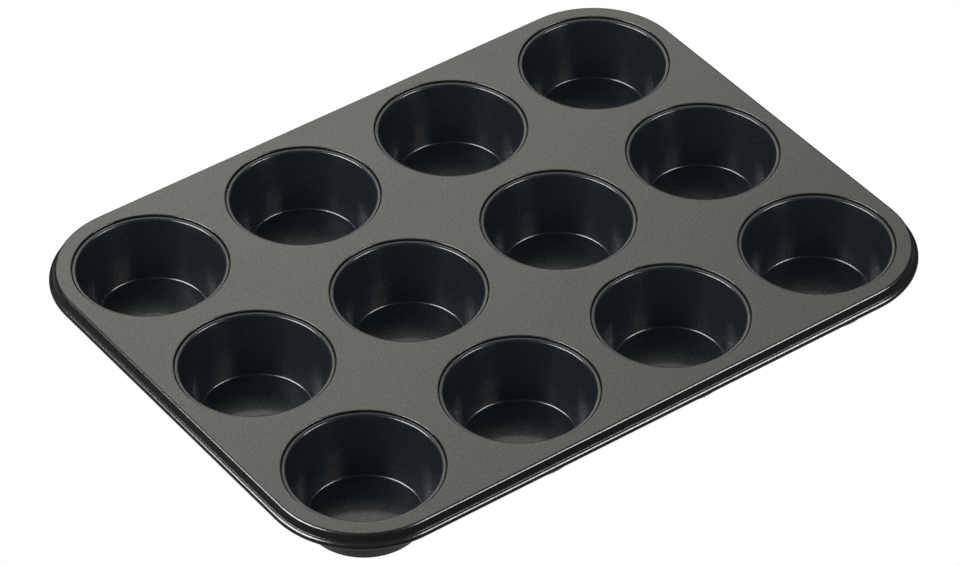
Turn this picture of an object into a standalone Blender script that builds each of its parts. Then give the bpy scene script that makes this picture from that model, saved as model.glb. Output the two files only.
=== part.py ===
"""Twelve-cup muffin tin, made as sheet-metal bakeware is made: a pressed deck with collared holes,
a steel wire closed inside the deck's rolled rim, and twelve drawn cups whose lips are crimped
round the deck's collars. Metres, +Z up, origin on the resting plane under the middle of the tin,
+X along the four columns of cups and +Y along the three rows."""

import math

import bmesh
import bpy

# Driving dimensions.
COLUMNS, ROWS = 4, 3
PITCH = 0.0857  # cup axis to cup axis, both ways
HEIGHT = 0.0308  # resting plane to the deck's top face
RIM_REACH = 0.0473  # from the outer cups' axes to the outside of the rim
SHEET = 0.0004  # steel sheet, coated, for the deck and the cups
SEAM_GAP = 0.0003  # clearance between the folded sheets of a crimp, and round the rim wire

# Cup mouth and its crimp. Radii of folds are at the middle of the sheet.
HOLE_RADIUS = 0.0372  # where the deck's flat turns down into the collar
COLLAR_FOLD = 0.00022
FLANGE_FOLD = 0.0003
FLANGE_EDGE = 0.0380  # outer edge of the collar's flange, folded back under the deck
HOOK_TIP_INSET = 0.0005  # how far the cup's hook stops short of the deck's flange edge, inwards
BEAD_RADIUS = 0.03628  # to the outer side of the bead at the cup's lip
BEAD_TOP = 0.0009  # from the deck's top face down to the bead's
BEAD_FLAT = 0.0008
BEAD_SLOPE = math.radians(8)  # of that flat, down towards the cup
BEAD_FOLD = 0.00022  # on the bead's outer side
LIP_FOLD = 0.0007  # on its inner side, down into the wall
WALL_TAPER = math.radians(15)
FLOOR_FOLD = 0.0014

# Rim: the skirt below the deck's edge, rolled outwards round the wire.
EDGE_FOLD = 0.0011
SKIRT_FLARE = math.radians(18.5)
SKIRT_TURN = math.radians(60)  # the small outward turn before the roll
SKIRT_TURN_FOLD = 0.0005
ROLL_ANGLE = math.radians(290)
WIRE_RADIUS = 0.0011
WIRE_DROP = 0.00595  # deck's top face down to the wire's axis
WIRE_BUTT_GAP = 0.001  # between the wire's two ends, in the middle of the back side

# How finely the curved shapes are cut.
CUP_SIDES = 24
CORNER_STEPS = 6
ROLL_STEPS = 10
SHARP_ANGLE = math.radians(40)  # edges folded more sharply than this aren't shaded round
ON_AXIS = 1e-6  # a ring of this radius or less is a single point

# Worked out from the above.
LEVEL = SHEET + SEAM_GAP  # the step from one sheet of the crimp to the next
DECK_MIDDLE = HEIGHT - SHEET / 2
HOOK_MIDDLE = DECK_MIDDLE - LEVEL
FLANGE_MIDDLE = DECK_MIDDLE - 2 * LEVEL
LIP_MIDDLE = DECK_MIDDLE - 3 * LEVEL
CREST_MIDDLE = DECK_MIDDLE - BEAD_TOP
ROLL_FOLD = WIRE_RADIUS + SEAM_GAP + SHEET / 2
CORNER_X = (COLUMNS - 1) / 2 * PITCH
CORNER_Y = (ROWS - 1) / 2 * PITCH

DECK_GREY = (0.105, 0.106, 0.098)
CUP_BLACK = (0.022, 0.024, 0.027)
WIRE_STEEL = (0.42, 0.42, 0.43)


class Fold:
    """The middle line of a folded sheet in section, drawn with straight runs and round bends.
    x is a radius or an outward offset, and z a height."""

    def __init__(self, x, z, heading):
        self.x, self.z, self.heading = x, z, heading
        self.points = [(x, z)]

    def run(self, length):
        self.x += length * math.cos(self.heading)
        self.z += length * math.sin(self.heading)
        self.points.append((self.x, self.z))

    def run_to_x(self, x):
        self.run((x - self.x) / math.cos(self.heading))

    def run_to_z(self, z):
        self.run((z - self.z) / math.sin(self.heading))

    def bend(self, turn, radius, steps):
        """Turns left by a positive angle, in chords that touch the bend's arc at their middles."""
        part = turn / steps
        side = radius * math.tan(abs(part) / 2)
        for _ in range(steps):
            if len(self.points) > 1:
                self.points.pop()
            self.run(side)
            self.heading += part
            self.run(side)


def sheet_outline(middle, thickness):
    """Both faces of a sheet, given the points along its middle: out along its left face, back
    along its right face."""
    left, right = [], []
    for i, (x, z) in enumerate(middle):
        before = middle[max(i - 1, 0)]
        after = middle[min(i + 1, len(middle) - 1)]
        into = (x - before[0], z - before[1]) if i else (after[0] - x, after[1] - z)
        out = (after[0] - x, after[1] - z) if i < len(middle) - 1 else into
        angle_in, angle_out = math.atan2(into[1], into[0]), math.atan2(out[1], out[0])
        half = math.remainder(angle_out - angle_in, math.tau) / 2
        reach = thickness / 2 / math.cos(half)
        dx, dz = -math.sin(angle_in + half) * reach, math.cos(angle_in + half) * reach
        left.append((x + dx, z + dz))
        right.append((x - dx, z - dz))
    return left + right[::-1]


def collar_section():
    """The deck's sheet where it turns down into a cup's mouth and out again as a flange."""
    fold = Fold(HOLE_RADIUS, DECK_MIDDLE, math.pi)
    fold.bend(math.radians(90), COLLAR_FOLD, 2)
    fold.run_to_z(FLANGE_MIDDLE + FLANGE_FOLD)
    fold.bend(math.radians(90), FLANGE_FOLD, 2)
    fold.run_to_x(FLANGE_EDGE)
    return sheet_outline(fold.points, SHEET)


def cup_section():
    """The cup's sheet: hooked over the deck's flange, in under it, over the bead inside the
    collar, down the wall and in to the axis."""
    fold = Fold(FLANGE_EDGE - HOOK_TIP_INSET, HOOK_MIDDLE, 0)
    fold.run_to_x(FLANGE_EDGE + LEVEL / 2 + SEAM_GAP / 2 - FLANGE_FOLD)
    fold.bend(math.radians(-90), FLANGE_FOLD, 1)
    fold.run_to_z(LIP_MIDDLE + FLANGE_FOLD)
    fold.bend(math.radians(-90), FLANGE_FOLD, 1)
    fold.run_to_x(BEAD_RADIUS + BEAD_FOLD)
    fold.bend(math.radians(-90), BEAD_FOLD, 1)
    fold.run_to_z(CREST_MIDDLE - BEAD_FOLD)
    fold.bend(math.radians(90) + BEAD_SLOPE, BEAD_FOLD, 1)
    fold.run(BEAD_FLAT)
    wall_turn = math.radians(90) - WALL_TAPER
    fold.bend(wall_turn - BEAD_SLOPE, LIP_FOLD, 2)
    fold.run_to_z(SHEET / 2 + FLOOR_FOLD * (1 - math.cos(wall_turn)))
    fold.bend(-wall_turn, FLOOR_FOLD, 2)
    fold.run_to_x(0)
    return sheet_outline(fold.points, SHEET)


def rim_fold():
    """The deck's sheet beyond its flat: down the skirt and outwards round the wire. x is the
    offset from the edge of the flat."""
    fold = Fold(0, DECK_MIDDLE, 0)
    fold.bend(SKIRT_FLARE - math.radians(90), EDGE_FOLD, 3)
    top_of_roll = HEIGHT - WIRE_DROP + ROLL_FOLD * math.cos(fold.heading + SKIRT_TURN)
    turn_height = SKIRT_TURN_FOLD * (
        math.cos(fold.heading + SKIRT_TURN) - math.cos(fold.heading)
    )
    fold.run_to_z(top_of_roll + turn_height)
    fold.bend(SKIRT_TURN, SKIRT_TURN_FOLD, 2)
    return fold


def wire_offset():
    """How far the wire's axis lies outside the edge of the deck's flat."""
    fold = rim_fold()
    return fold.x + ROLL_FOLD * math.sin(fold.heading)


def rim_section():
    fold = rim_fold()
    fold.bend(-ROLL_ANGLE, ROLL_FOLD, ROLL_STEPS)
    return sheet_outline(fold.points, SHEET)


WIRE_OFFSET = wire_offset()
FLAT_RADIUS = RIM_REACH - WIRE_OFFSET - ROLL_FOLD - SHEET / 2  # corner radius of the deck's flat


def circle(radius, z, x=0.0, y=0.0):
    angles = [math.tau * i / CUP_SIDES for i in range(CUP_SIDES)]
    return [(x + radius * math.cos(a), y + radius * math.sin(a), z) for a in angles]


def rounded_rectangle(offset, z):
    """A line round the tin at that offset outside the deck's flat, counterclockwise from the
    corner at +X +Y."""
    radius = FLAT_RADIUS + offset
    points = []
    for corner, (sx, sy) in enumerate(((1, 1), (-1, 1), (-1, -1), (1, -1))):
        for step in range(CORNER_STEPS + 1):
            a = math.radians(90) * (corner + step / CORNER_STEPS)
            points.append(
                (sx * CORNER_X + radius * math.cos(a), sy * CORNER_Y + radius * math.sin(a), z)
            )
    return points


def add_ring(bm, points):
    return [bm.verts.new(point) for point in points]


def ring_edges(bm, ring):
    """The edges round a ring that its band of faces already made."""
    return [bm.edges.get((ring[i - 1], ring[i])) for i in range(len(ring))]


def skin(bm, rings):
    """Bands of faces from each ring to the next. They are triangles where a ring is one vertex
    repeated."""
    for a, b in zip(rings, rings[1:]):
        for i in range(len(a)):
            corners = dict.fromkeys((a[i - 1], a[i], b[i], b[i - 1]))
            bm.faces.new(list(corners))


def make_object(name, mesh, material, parent, location=(0, 0, 0)):
    obj = bpy.data.objects.new(name, mesh)
    if not mesh.materials:
        mesh.materials.append(material)
    bpy.context.scene.collection.objects.link(obj)
    obj.parent = parent
    obj.location = location
    return obj


def finish_mesh(bm, name):
    bmesh.ops.recalc_face_normals(bm, faces=bm.faces)
    mesh = bpy.data.meshes.new(name)
    bm.to_mesh(mesh)
    bm.free()
    mesh.shade_smooth()
    mesh.set_sharp_from_angle(angle=SHARP_ANGLE)
    return mesh


def coating(name, colour, roughness, metallic):
    material = bpy.data.materials.new(name)
    material.use_nodes = True
    shader = material.node_tree.nodes["Principled BSDF"]
    shader.inputs["Base Color"].default_value = (*colour, 1)
    shader.inputs["Roughness"].default_value = roughness
    shader.inputs["Metallic"].default_value = metallic
    return material


def cup_places():
    """(row, column, x, y) of every cup, row 1 at -Y and column 1 at -X."""
    for row in range(ROWS):
        for column in range(COLUMNS):
            yield row + 1, column + 1, column * PITCH - CORNER_X, row * PITCH - CORNER_Y


def make_deck(material, parent):
    bm = bmesh.new()
    rim = [add_ring(bm, rounded_rectangle(x, z)) for x, z in rim_section()]
    skin(bm, rim)
    # The section goes out along the sheet's left face, so a rim's first ring is on top of the
    # sheet and a collar's first ring, whose section starts inwards, is underneath.
    top, under = ring_edges(bm, rim[0]), ring_edges(bm, rim[-1])
    for _, _, x, y in cup_places():
        collar = [add_ring(bm, circle(r, z, x, y)) for r, z in collar_section()]
        skin(bm, collar)
        under += ring_edges(bm, collar[0])
        top += ring_edges(bm, collar[-1])
    for edges in (top, under):
        bmesh.ops.triangle_fill(bm, use_beauty=True, edges=edges)
    return make_object("deck", finish_mesh(bm, "deck"), material, parent)


def make_cups(material, parent):
    bm = bmesh.new()
    rings = []
    for r, z in cup_section():
        on_axis = r < ON_AXIS
        rings.append([bm.verts.new((0, 0, z))] * CUP_SIDES if on_axis else add_ring(bm, circle(r, z)))
    outside, inside = rings[: len(rings) // 2], rings[len(rings) // 2 :]
    for band in (outside, inside, [inside[-1], outside[0]]):
        skin(bm, band)
    mesh = finish_mesh(bm, "cup")
    for row, column, x, y in cup_places():
        make_object(f"cup_row{row}_col{column}", mesh, material, parent, (x, y, 0))


def make_rim_wire(material, parent):
    """One length of round wire bent to the rim, its two ends butted at the middle of the back."""
    z = HEIGHT - WIRE_DROP
    loop = rounded_rectangle(WIRE_OFFSET, z)
    back_y = loop[CORNER_STEPS][1]
    after_gap = CORNER_STEPS + 1
    ends = [(-WIRE_BUTT_GAP / 2, back_y, z), (WIRE_BUTT_GAP / 2, back_y, z)]
    path = [ends[0], *loop[after_gap:], *loop[:after_gap], ends[1]]
    curve = bpy.data.curves.new("rim_wire", "CURVE")
    curve.dimensions = "3D"
    curve.bevel_depth = WIRE_RADIUS
    curve.bevel_resolution = 2
    curve.use_fill_caps = True
    spline = curve.splines.new("POLY")
    spline.points.add(len(path) - 1)
    for point, place in zip(spline.points, path):
        point.co = (*place, 1)
    make_object("rim_wire", curve, material, parent)


def main():
    for obj in list(bpy.data.objects):
        bpy.data.objects.remove(obj)
    tin = bpy.data.objects.new("muffin_tin", None)
    bpy.context.scene.collection.objects.link(tin)
    make_deck(coating("deck_coating", DECK_GREY, 0.42, 0.6), tin)
    make_cups(coating("cup_coating", CUP_BLACK, 0.36, 0.3), tin)
    make_rim_wire(coating("wire_steel", WIRE_STEEL, 0.35, 1.0), tin)


main()
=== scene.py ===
"""The muffin tin's looks: fine surfaces for the deck, the cups and the rim wire, their coatings,
a plain studio and the camera. Metres, in the frame's own axes."""

import math

import bmesh
import bpy
from mathutils import Matrix, Vector


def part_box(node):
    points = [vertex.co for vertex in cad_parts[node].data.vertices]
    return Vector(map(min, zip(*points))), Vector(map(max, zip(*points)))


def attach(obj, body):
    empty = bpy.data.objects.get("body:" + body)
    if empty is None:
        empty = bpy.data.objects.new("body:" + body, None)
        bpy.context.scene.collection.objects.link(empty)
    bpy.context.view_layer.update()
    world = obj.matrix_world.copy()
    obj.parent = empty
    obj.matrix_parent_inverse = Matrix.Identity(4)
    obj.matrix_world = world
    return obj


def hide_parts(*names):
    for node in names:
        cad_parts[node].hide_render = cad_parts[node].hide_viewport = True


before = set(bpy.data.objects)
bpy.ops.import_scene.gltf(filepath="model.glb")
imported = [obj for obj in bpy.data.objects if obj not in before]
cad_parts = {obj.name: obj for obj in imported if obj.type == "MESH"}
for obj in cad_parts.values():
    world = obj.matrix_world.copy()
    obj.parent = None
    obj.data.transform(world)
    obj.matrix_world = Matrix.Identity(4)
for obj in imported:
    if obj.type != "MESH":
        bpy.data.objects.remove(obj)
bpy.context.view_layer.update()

QUARTER_TURN = math.radians(90)

# The sheet. Each fold's radius is at the middle of the sheet.
SHEET = 0.0004
SEAM_GAP = 0.0003  # stands in for pressed contact
LEVEL = SHEET + SEAM_GAP  # from one folded layer to the next

# The deck's collar round each hole: down, then outwards as a flange.
HOLE_RADIUS = 0.0372  # where the deck's flat ends
COLLAR_FOLD = 0.00022
FLANGE_FOLD = 0.0003
FLANGE_EDGE = 0.0380

# The cup: a hook round the flange, a bead inside the collar, the wall and the floor.
HOOK_TIP_INSET = 0.0005
BEAD_RADIUS = 0.03628  # of the bead's upright outer side
BEAD_TOP = 0.0009  # below the deck
BEAD_FLAT = 0.0008
BEAD_SLOPE = math.radians(8)
BEAD_FOLD = 0.00022
LIP_FOLD = 0.0007
WALL_TAPER = math.radians(15)
FLOOR_FOLD = 0.0014
ON_AXIS = 1e-6  # a ring smaller than this is one point

# The deck's edge: the skirt, its turn outwards and the roll round the wire.
EDGE_FOLD = 0.0011
SKIRT_FLARE = math.radians(18.5)
SKIRT_TURN = math.radians(60)
SKIRT_TURN_FOLD = 0.0005
ROLL_ANGLE = math.radians(290)
WIRE_RADIUS = 0.0011
WIRE_DROP = 0.00595  # from the deck's top to the wire's middle
WIRE_BUTT_GAP = 0.001
ROLL_FOLD = WIRE_RADIUS + SEAM_GAP + SHEET / 2
INSET = 0.00002  # keeps the rim just inside the frame's box

# Places, from the frame.
CUP_NODES = sorted(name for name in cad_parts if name.startswith("cup_"))
DECK_HIGH = Vector(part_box("deck")[1])
TOP = DECK_HIGH.z
CUP_CENTRES = {
    name: (Vector(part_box(name)[0]) + Vector(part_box(name)[1])) / 2 for name in CUP_NODES
}
CORNER_X = max(centre.x for centre in CUP_CENTRES.values())
CORNER_Y = max(centre.y for centre in CUP_CENTRES.values())
CUP_FLOOR = min(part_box(name)[0][2] for name in CUP_NODES)
DECK_MIDDLE = TOP - SHEET / 2
HOOK_MIDDLE = DECK_MIDDLE - LEVEL
FLANGE_MIDDLE = DECK_MIDDLE - 2 * LEVEL
LIP_MIDDLE = DECK_MIDDLE - 3 * LEVEL
CREST_MIDDLE = DECK_MIDDLE - BEAD_TOP

# How finely the surfaces are cut.
CUP_SIDES = 96
CORNER_STEPS = 24
FLAT_MARGIN = 0.0006  # a narrow ring of flat sheet beside each bend keeps the flat's shading flat
BEND_STEPS = 7
WIDE_BEND_STEPS = 9
FLANGE_STEPS = 6
HOOK_STEPS = 4
SKIRT_BANDS = 2
SKIRT_TURN_STEPS = 5
ROLL_STEPS = 30
WALL_BANDS = 6
FLOOR_RINGS = 5
WIRE_SIDES = 16
SHARP_ANGLE = math.radians(35)

# The coatings. Colours are linear.
DECK_COLOUR, DECK_COAT = (0.005, 0.005, 0.0049), 0.5
CUP_COLOUR, CUP_COAT = (0.0038, 0.0053, 0.0066), 0.42
COAT_ROUGHNESS = 0.09
SPECULAR = 0.3
SPECKLE = 0.6  # how far the coating's sheen varies from fleck to fleck
ROUGHNESS = 0.28
ROUGHNESS_SPREAD = 0.02
DARK_FLECK, PALE_FLECK = 0.8, 1.25  # shares of the colour
GRAIN_DEPTH = 0.000003
# Each noise: its scale and its detail.
FLECKS = 1400, 2
BLOTCHES = 28, 3
GRAIN = 1500, 3
NOISE_ENDS = 0.3, 0.7  # nearly all of a noise's values lie between these

# The wire's bare steel.
WIRE_COLOUR = (0.42, 0.42, 0.43)
WIRE_ROUGHNESS = 0.25, 0.5
STREAKS = 900, 2

# The studio. Angles are in degrees, round the tin as the camera's are.
FLOOR_HALF = 40
FLOOR_DROP, TABLE_DROP = 0.0004, 0.0002  # below the cups' undersides
CARD_MARGIN = 0.025  # of pale table close round the tin, which its underside reflects
PAINTED_SHADE_IN_REFLECTIONS = 0.3  # the white's share of light in reflections: painted shade, standing for the floor in the tin's shadow, which the tin's underside reflects
WORLD_GLOW = (0.05, 0.06, 0.075)
# The panel opposite the camera, which the deck reflects: the deck's grey.
BACK_COLOUR, BACK_STRENGTH = (1.0, 1.0, 0.92), 2.7
BACK_AZIMUTH, BACK_ELEVATION, BACK_DISTANCE = 144.2, 42, 2.2
BACK_WIDTH, BACK_HEIGHT = 1.7, 1.2
# Where each of its fades starts and ends, from its middle, and the share of light left.
FADE_ACROSS = 0.22, -0.45, 0.53
FADE_UP = -0.30, 0.30, 0.74

# The camera: where it looks from, as angles round the tin, and what it looks at.
VIEW_AZIMUTH = math.radians(-35.80)  # 0 looks along +Y
VIEW_ELEVATION = math.radians(40.19)
VIEW_ROLL = math.radians(0.505)
VIEW_DISTANCE = 2.2789
VIEW_TARGET = Vector((-0.01383, -0.01546, TOP))
LENS = 185.76
SENSOR = 36
FAR_CLIP = 100


class Fold:
    """The middle line of a folded sheet in section, drawn with straight runs and round bends."""

    def __init__(self, x, z, heading):
        self.x, self.z, self.heading = x, z, heading
        self.points = [(x, z)]

    def run(self, length, parts=1):
        for _ in range(parts):
            self.x += length / parts * math.cos(self.heading)
            self.z += length / parts * math.sin(self.heading)
            self.points.append((self.x, self.z))

    def run_to_x(self, x, parts=1):
        self.run((x - self.x) / math.cos(self.heading), parts)

    def run_to_z(self, z, parts=1):
        self.run((z - self.z) / math.sin(self.heading), parts)

    def bend(self, turn, radius, steps=BEND_STEPS):
        """Turns left by a positive angle along an arc, with its points on the arc."""
        part = turn / steps
        chord = 2 * radius * math.sin(abs(part) / 2)
        for _ in range(steps):
            self.heading += part / 2
            self.run(chord)
            self.heading += part / 2


def sheet_outline(middle, thickness):
    """Both faces of a sheet, given the points along its middle: out along its left face, back
    along its right face."""
    left, right = [], []
    last = len(middle) - 1
    for i, (x, z) in enumerate(middle):
        before, after = middle[max(i - 1, 0)], middle[min(i + 1, last)]
        angle_in = math.atan2(z - before[1], x - before[0])
        angle_out = math.atan2(after[1] - z, after[0] - x)
        if i == 0:
            angle_in = angle_out
        if i == last:
            angle_out = angle_in
        half = math.remainder(angle_out - angle_in, math.tau) / 2
        reach = thickness / 2 / math.cos(half)
        dx, dz = -math.sin(angle_in + half) * reach, math.cos(angle_in + half) * reach
        left.append((x + dx, z + dz))
        right.append((x - dx, z - dz))
    return left + right[::-1]


def collar_section():
    """The deck's sheet round a hole. x is the distance from the cup's axis."""
    fold = Fold(HOLE_RADIUS + FLAT_MARGIN, DECK_MIDDLE, math.pi)
    fold.run(FLAT_MARGIN)
    fold.bend(QUARTER_TURN, COLLAR_FOLD)
    fold.run_to_z(FLANGE_MIDDLE + FLANGE_FOLD)
    fold.bend(QUARTER_TURN, FLANGE_FOLD, FLANGE_STEPS)
    fold.run_to_x(FLANGE_EDGE)
    return sheet_outline(fold.points, SHEET)


def cup_section():
    """A cup's sheet from the hook's tip to the middle of the floor: first its outer face, then
    its inner face back again. x is the distance from the cup's axis."""
    fold = Fold(FLANGE_EDGE - HOOK_TIP_INSET, HOOK_MIDDLE, 0)
    fold.run_to_x(FLANGE_EDGE + LEVEL / 2 + SEAM_GAP / 2 - FLANGE_FOLD)
    fold.bend(-QUARTER_TURN, FLANGE_FOLD, HOOK_STEPS)
    fold.run_to_z(LIP_MIDDLE + FLANGE_FOLD)
    fold.bend(-QUARTER_TURN, FLANGE_FOLD, HOOK_STEPS)
    fold.run_to_x(BEAD_RADIUS + BEAD_FOLD)
    fold.bend(-QUARTER_TURN, BEAD_FOLD)
    fold.run_to_z(CREST_MIDDLE - BEAD_FOLD)
    fold.bend(QUARTER_TURN + BEAD_SLOPE, BEAD_FOLD)
    fold.run(BEAD_FLAT)
    wall_turn = QUARTER_TURN - WALL_TAPER
    fold.bend(wall_turn - BEAD_SLOPE, LIP_FOLD)
    floor_middle = CUP_FLOOR + SHEET / 2
    fold.run_to_z(floor_middle + FLOOR_FOLD * (1 - math.cos(wall_turn)), WALL_BANDS)
    fold.bend(-wall_turn, FLOOR_FOLD, WIDE_BEND_STEPS)
    fold.run_to_x(0, FLOOR_RINGS)
    return sheet_outline(fold.points, SHEET)


def rim_fold():
    """The deck's sheet beyond its flat: down the skirt and turned outwards. x is the offset
    from the edge of the flat."""
    fold = Fold(-FLAT_MARGIN, DECK_MIDDLE, 0)
    fold.run(FLAT_MARGIN)
    fold.bend(SKIRT_FLARE - QUARTER_TURN, EDGE_FOLD, WIDE_BEND_STEPS)
    top_of_roll = TOP - WIRE_DROP + ROLL_FOLD * math.cos(fold.heading + SKIRT_TURN)
    turn_height = SKIRT_TURN_FOLD * (
        math.cos(fold.heading + SKIRT_TURN) - math.cos(fold.heading)
    )
    fold.run_to_z(top_of_roll + turn_height, SKIRT_BANDS)
    fold.bend(SKIRT_TURN, SKIRT_TURN_FOLD, SKIRT_TURN_STEPS)
    return fold


def wire_offset():
    """How far the wire's middle is outside the edge of the flat."""
    fold = rim_fold()
    return fold.x + ROLL_FOLD * math.sin(fold.heading)


def rim_section():
    """All of the deck's sheet beyond its flat, rolled round the wire."""
    fold = rim_fold()
    fold.bend(-ROLL_ANGLE, ROLL_FOLD, ROLL_STEPS)
    return sheet_outline(fold.points, SHEET)


WIRE_OFFSET = wire_offset()
RIM_REACH = DECK_HIGH.x - CORNER_X - INSET
FLAT_RADIUS = RIM_REACH - WIRE_OFFSET - ROLL_FOLD - SHEET / 2


def circle(centre, radius, z):
    angles = [math.tau * i / CUP_SIDES for i in range(CUP_SIDES)]
    return [
        (centre.x + radius * math.cos(a), centre.y + radius * math.sin(a), z) for a in angles
    ]


def rounded_rectangle(offset, z):
    """The outline of the deck's flat, moved outwards by the offset, from +X round by +Y."""
    radius = FLAT_RADIUS + offset
    points = []
    for corner, (sx, sy) in enumerate(((1, 1), (-1, 1), (-1, -1), (1, -1))):
        for step in range(CORNER_STEPS + 1):
            a = QUARTER_TURN * (corner + step / CORNER_STEPS)
            points.append(
                (sx * CORNER_X + radius * math.cos(a), sy * CORNER_Y + radius * math.sin(a), z)
            )
    return points


def add_ring(bm, points):
    return [bm.verts.new(point) for point in points]


def ring_edges(bm, ring):
    return [bm.edges.get((ring[i - 1], ring[i])) for i in range(len(ring))]


def skin(bm, rings):
    """Faces between each ring and the next. Where a ring is one point, they are triangles."""
    for a, b in zip(rings, rings[1:]):
        for i in range(len(a)):
            corners = dict.fromkeys((a[i - 1], a[i], b[i], b[i - 1]))
            bm.faces.new(list(corners))


def make_piece(name, bm, material, node):
    """Turns the mesh into a piece that stands for the frame's node."""
    bmesh.ops.recalc_face_normals(bm, faces=bm.faces)
    mesh = bpy.data.meshes.new(name)
    bm.to_mesh(mesh)
    bm.free()
    mesh.shade_smooth()
    mesh.set_sharp_from_angle(angle=SHARP_ANGLE)
    mesh.materials.append(material)
    piece = bpy.data.objects.new(name, mesh)
    bpy.context.scene.collection.objects.link(piece)
    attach(piece, "root")
    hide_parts(node)


def make_deck(material):
    bm = bmesh.new()
    rim = [add_ring(bm, rounded_rectangle(x, z)) for x, z in rim_section()]
    skin(bm, rim)
    top, under = ring_edges(bm, rim[0]), ring_edges(bm, rim[-1])
    for centre in CUP_CENTRES.values():
        collar = [add_ring(bm, circle(centre, r, z)) for r, z in collar_section()]
        skin(bm, collar)
        under += ring_edges(bm, collar[0])
        top += ring_edges(bm, collar[-1])
    for edges in (top, under):
        bmesh.ops.triangle_fill(bm, use_beauty=True, edges=edges)
    make_piece("deck_sheet", bm, material, "deck")


def make_cup(node, material):
    bm = bmesh.new()
    centre = CUP_CENTRES[node]
    rings = []
    for r, z in cup_section():
        if r < ON_AXIS:
            rings.append([bm.verts.new((centre.x, centre.y, z))] * CUP_SIDES)
        else:
            rings.append(add_ring(bm, circle(centre, r, z)))
    half = len(rings) // 2
    outside, inside = rings[:half], rings[half:]
    for band in (outside, inside, [inside[-1], outside[0]]):
        skin(bm, band)
    make_piece(node + "_shell", bm, material, node)


def make_wire(material):
    """One length of wire round the rim, with its ends butted in the middle of the back."""
    z = TOP - WIRE_DROP
    loop = rounded_rectangle(WIRE_OFFSET, z)
    back_y = loop[CORNER_STEPS][1]
    after_gap = CORNER_STEPS + 1
    ends = [(-WIRE_BUTT_GAP / 2, back_y, z), (WIRE_BUTT_GAP / 2, back_y, z)]
    path = [Vector(p) for p in (ends[0], *loop[after_gap:], *loop[:after_gap], ends[1])]
    bm = bmesh.new()
    rings = []
    for i, place in enumerate(path):
        ahead = (path[min(i + 1, len(path) - 1)] - path[max(i - 1, 0)]).normalized()
        outward = ahead.cross(Vector((0, 0, 1)))
        ring = []
        for side in range(WIRE_SIDES):
            a = math.tau * side / WIRE_SIDES
            point = place + WIRE_RADIUS * (math.cos(a) * outward + Vector((0, 0, math.sin(a))))
            ring.append(bm.verts.new(point))
        rings.append(ring)
    skin(bm, rings)
    bm.faces.new(rings[0])
    bm.faces.new(rings[-1])
    make_piece("rim_wire_bent", bm, material, "rim_wire")


def new_material(name):
    material = bpy.data.materials.new(name)
    material.use_nodes = True
    return material, material.node_tree.nodes, material.node_tree.links


def object_noise(nodes, links, scale, detail):
    place = nodes.new("ShaderNodeTexCoord")
    noise = nodes.new("ShaderNodeTexNoise")
    noise.inputs["Scale"].default_value = scale
    noise.inputs["Detail"].default_value = detail
    links.new(place.outputs["Object"], noise.inputs["Vector"])
    return noise.outputs["Fac"]


def spread(nodes, links, source, ends, results):
    """Maps values between the two ends to values between the two results."""
    node = nodes.new("ShaderNodeMapRange")
    node.inputs["From Min"].default_value, node.inputs["From Max"].default_value = ends
    node.inputs["To Min"].default_value, node.inputs["To Max"].default_value = results
    links.new(source, node.inputs["Value"])
    return node.outputs["Result"]


def coating(name, colour, coat):
    """A baked-on non-stick coating: near-black, flecked and half glossy, with a fine orange-peel
    skin, under a thin and smoother top coat."""
    material, nodes, links = new_material(name)
    shader = nodes["Principled BSDF"]
    shader.inputs["Coat Weight"].default_value = coat
    shader.inputs["Coat Roughness"].default_value = COAT_ROUGHNESS

    def vary(noise, results, socket):
        links.new(spread(nodes, links, noise, NOISE_ENDS, results), socket)

    flecks = object_noise(nodes, links, *FLECKS)
    mix = nodes.new("ShaderNodeMix")
    mix.data_type = "RGBA"
    mix.inputs["A"].default_value = (*(c * DARK_FLECK for c in colour), 1)
    mix.inputs["B"].default_value = (*(c * PALE_FLECK for c in colour), 1)
    vary(flecks, (0, 1), mix.inputs["Factor"])
    links.new(mix.outputs["Result"], shader.inputs["Base Color"])
    sheen = SPECULAR * (1 - SPECKLE), SPECULAR * (1 + SPECKLE)
    vary(flecks, sheen, shader.inputs["Specular IOR Level"])
    softness = ROUGHNESS - ROUGHNESS_SPREAD, ROUGHNESS + ROUGHNESS_SPREAD
    vary(object_noise(nodes, links, *BLOTCHES), softness, shader.inputs["Roughness"])

    bump = nodes.new("ShaderNodeBump")
    bump.inputs["Strength"].default_value = 1
    bump.inputs["Distance"].default_value = GRAIN_DEPTH
    links.new(object_noise(nodes, links, *GRAIN), bump.inputs["Height"])
    links.new(bump.outputs["Normal"], shader.inputs["Normal"])
    return material


def wire_steel():
    material, nodes, links = new_material("drawn_steel")
    shader = nodes["Principled BSDF"]
    shader.inputs["Metallic"].default_value = 1
    shader.inputs["Base Color"].default_value = (*WIRE_COLOUR, 1)
    streaks = object_noise(nodes, links, *STREAKS)
    roughness = spread(nodes, links, streaks, (0, 1), WIRE_ROUGHNESS)
    links.new(roughness, shader.inputs["Roughness"])
    return material


def from_angles(azimuth, elevation):
    """The unit direction towards a viewer there."""
    return Vector(
        (
            math.sin(azimuth) * math.cos(elevation),
            -math.cos(azimuth) * math.cos(elevation),
            math.sin(elevation),
        )
    )


def make_camera():
    back = from_angles(VIEW_AZIMUTH, VIEW_ELEVATION)
    level = Vector((math.cos(VIEW_AZIMUTH), math.sin(VIEW_AZIMUTH), 0))
    right = math.cos(VIEW_ROLL) * level - math.sin(VIEW_ROLL) * back.cross(level)
    up = back.cross(right)
    data = bpy.data.cameras.new("camera")
    data.lens = LENS
    data.sensor_width = SENSOR
    data.clip_end = FAR_CLIP
    camera = bpy.data.objects.new("camera", data)
    turn = Matrix((right, up, back)).transposed().to_4x4()
    camera.matrix_world = Matrix.Translation(VIEW_TARGET + VIEW_DISTANCE * back) @ turn
    bpy.context.scene.collection.objects.link(camera)
    bpy.context.scene.camera = camera


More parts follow.
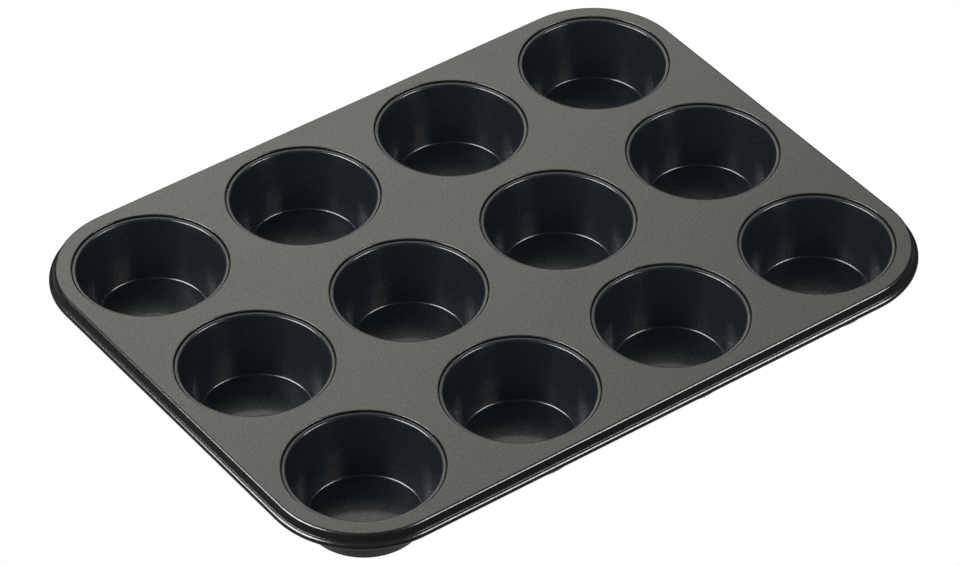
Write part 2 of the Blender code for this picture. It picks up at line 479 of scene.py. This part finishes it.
def soft_light(name, azimuth, elevation, distance, width, height, radiance):
    """A rectangular soft light facing the tin."""
    data = bpy.data.lights.new(name, "AREA")
    data.shape = "RECTANGLE"
    data.size = width
    data.size_y = height
    data.energy = radiance * math.pi * width * height
    light = bpy.data.objects.new(name, data)
    face_tin(light, azimuth, elevation, distance)
    bpy.context.scene.collection.objects.link(light)


def face_tin(thing, azimuth, elevation, distance):
    """Turns a light or a panel to the tin, out of the camera's sight."""
    towards = from_angles(math.radians(azimuth), math.radians(elevation))
    thing.location = VIEW_TARGET + distance * towards
    thing.rotation_euler = towards.to_track_quat("Z", "Y").to_euler()
    thing.visible_camera = False


def glow_material(name, colour):
    """A material that only glows, with its nodes, its links and the socket for its strength."""
    material, nodes, links = new_material(name)
    nodes.remove(nodes["Principled BSDF"])
    glow = nodes.new("ShaderNodeEmission")
    glow.inputs["Color"].default_value = (*colour, 1)
    links.new(glow.outputs["Emission"], nodes["Material Output"].inputs["Surface"])
    return material, nodes, links, glow.inputs["Strength"]


def white_sweep():
    """White as the camera sees it, and dimmer in reflections: painted shade of the floor under the
    tin.
    """
    material, nodes, links, strength = glow_material("white_sweep", (1, 1, 1))
    seen = nodes.new("ShaderNodeLightPath").outputs["Is Camera Ray"]
    links.new(spread(nodes, links, seen, (0, 1), (PAINTED_SHADE_IN_REFLECTIONS, 1)), strength)
    return material


def add_plane(name, material, half_x, half_y, z):
    bm = bmesh.new()
    bmesh.ops.create_grid(bm, x_segments=1, y_segments=1, size=1)
    bmesh.ops.scale(bm, vec=(half_x, half_y, 1), verts=bm.verts)
    mesh = bpy.data.meshes.new(name)
    bm.to_mesh(mesh)
    bm.free()
    mesh.materials.append(material)
    plane = bpy.data.objects.new(name, mesh)
    plane.location.z = z
    bpy.context.scene.collection.objects.link(plane)
    return plane


def back_panel():
    """A broad glow behind the tin, which fades to the right and upwards."""
    material, nodes, links, strength = glow_material("back_glow", BACK_COLOUR)
    place = nodes.new("ShaderNodeTexCoord")
    axes = nodes.new("ShaderNodeSeparateXYZ")
    links.new(place.outputs["Object"], axes.inputs["Vector"])

    def fade(axis, full, start, end, last):
        return spread(nodes, links, axes.outputs[axis], (start, end), (full, full * last))

    level = nodes.new("ShaderNodeMath")
    level.operation = "MULTIPLY"
    links.new(fade("X", BACK_STRENGTH, *FADE_ACROSS), level.inputs[0])
    links.new(fade("Y", 1, *FADE_UP), level.inputs[1])
    links.new(level.outputs[0], strength)
    panel = add_plane("back_panel", material, BACK_WIDTH / 2, BACK_HEIGHT / 2, 0)
    face_tin(panel, BACK_AZIMUTH, BACK_ELEVATION, BACK_DISTANCE)


def make_world():
    """White as the camera sees it, and a dim blue-grey as light and in reflections."""
    world = bpy.data.worlds.new("studio")
    world.use_nodes = True
    nodes, links = world.node_tree.nodes, world.node_tree.links
    dark = nodes["Background"]
    dark.inputs["Color"].default_value = (*WORLD_GLOW, 1)
    pale = nodes.new("ShaderNodeBackground")
    pale.inputs["Color"].default_value = (1, 1, 1, 1)
    seen = nodes.new("ShaderNodeLightPath")
    either = nodes.new("ShaderNodeMixShader")
    links.new(seen.outputs["Is Camera Ray"], either.inputs["Fac"])
    links.new(dark.outputs["Background"], either.inputs[1])
    links.new(pale.outputs["Background"], either.inputs[2])
    links.new(either.outputs["Shader"], nodes["World Output"].inputs["Surface"])
    bpy.context.scene.world = world


def make_studio():
    white = white_sweep()
    floor = add_plane("floor", white, FLOOR_HALF, FLOOR_HALF, CUP_FLOOR - FLOOR_DROP)
    floor.visible_glossy = False
    # A pale card round the tin: as white as the floor to the camera, and painted shade in the tin's
    # reflections of it.
    shade_card = add_plane(
        "table",
        white,
        DECK_HIGH.x + CARD_MARGIN,
        DECK_HIGH.y + CARD_MARGIN,
        CUP_FLOOR - TABLE_DROP,
    )
    for plane in (floor, shade_card):
        plane.visible_diffuse = False
    make_world()
    back_panel()
    # From either side: the bright lines along the bends.
    soft_light(
        "left_softbox", azimuth=-109, elevation=38, distance=1.8, width=1.4, height=1.0, radiance=21
    )
    soft_light(
        "right_softbox", azimuth=35, elevation=34, distance=1.8, width=0.9, height=0.7, radiance=20
    )
    scene = bpy.context.scene
    scene.view_settings.view_transform = "Standard"
    scene.view_settings.look = "None"


def main():
    make_deck(coating("deck_finish", DECK_COLOUR, DECK_COAT))
    cup_finish = coating("cup_finish", CUP_COLOUR, CUP_COAT)
    for node in CUP_NODES:
        make_cup(node, cup_finish)
    make_wire(wire_steel())
    make_studio()
    make_camera()


main()
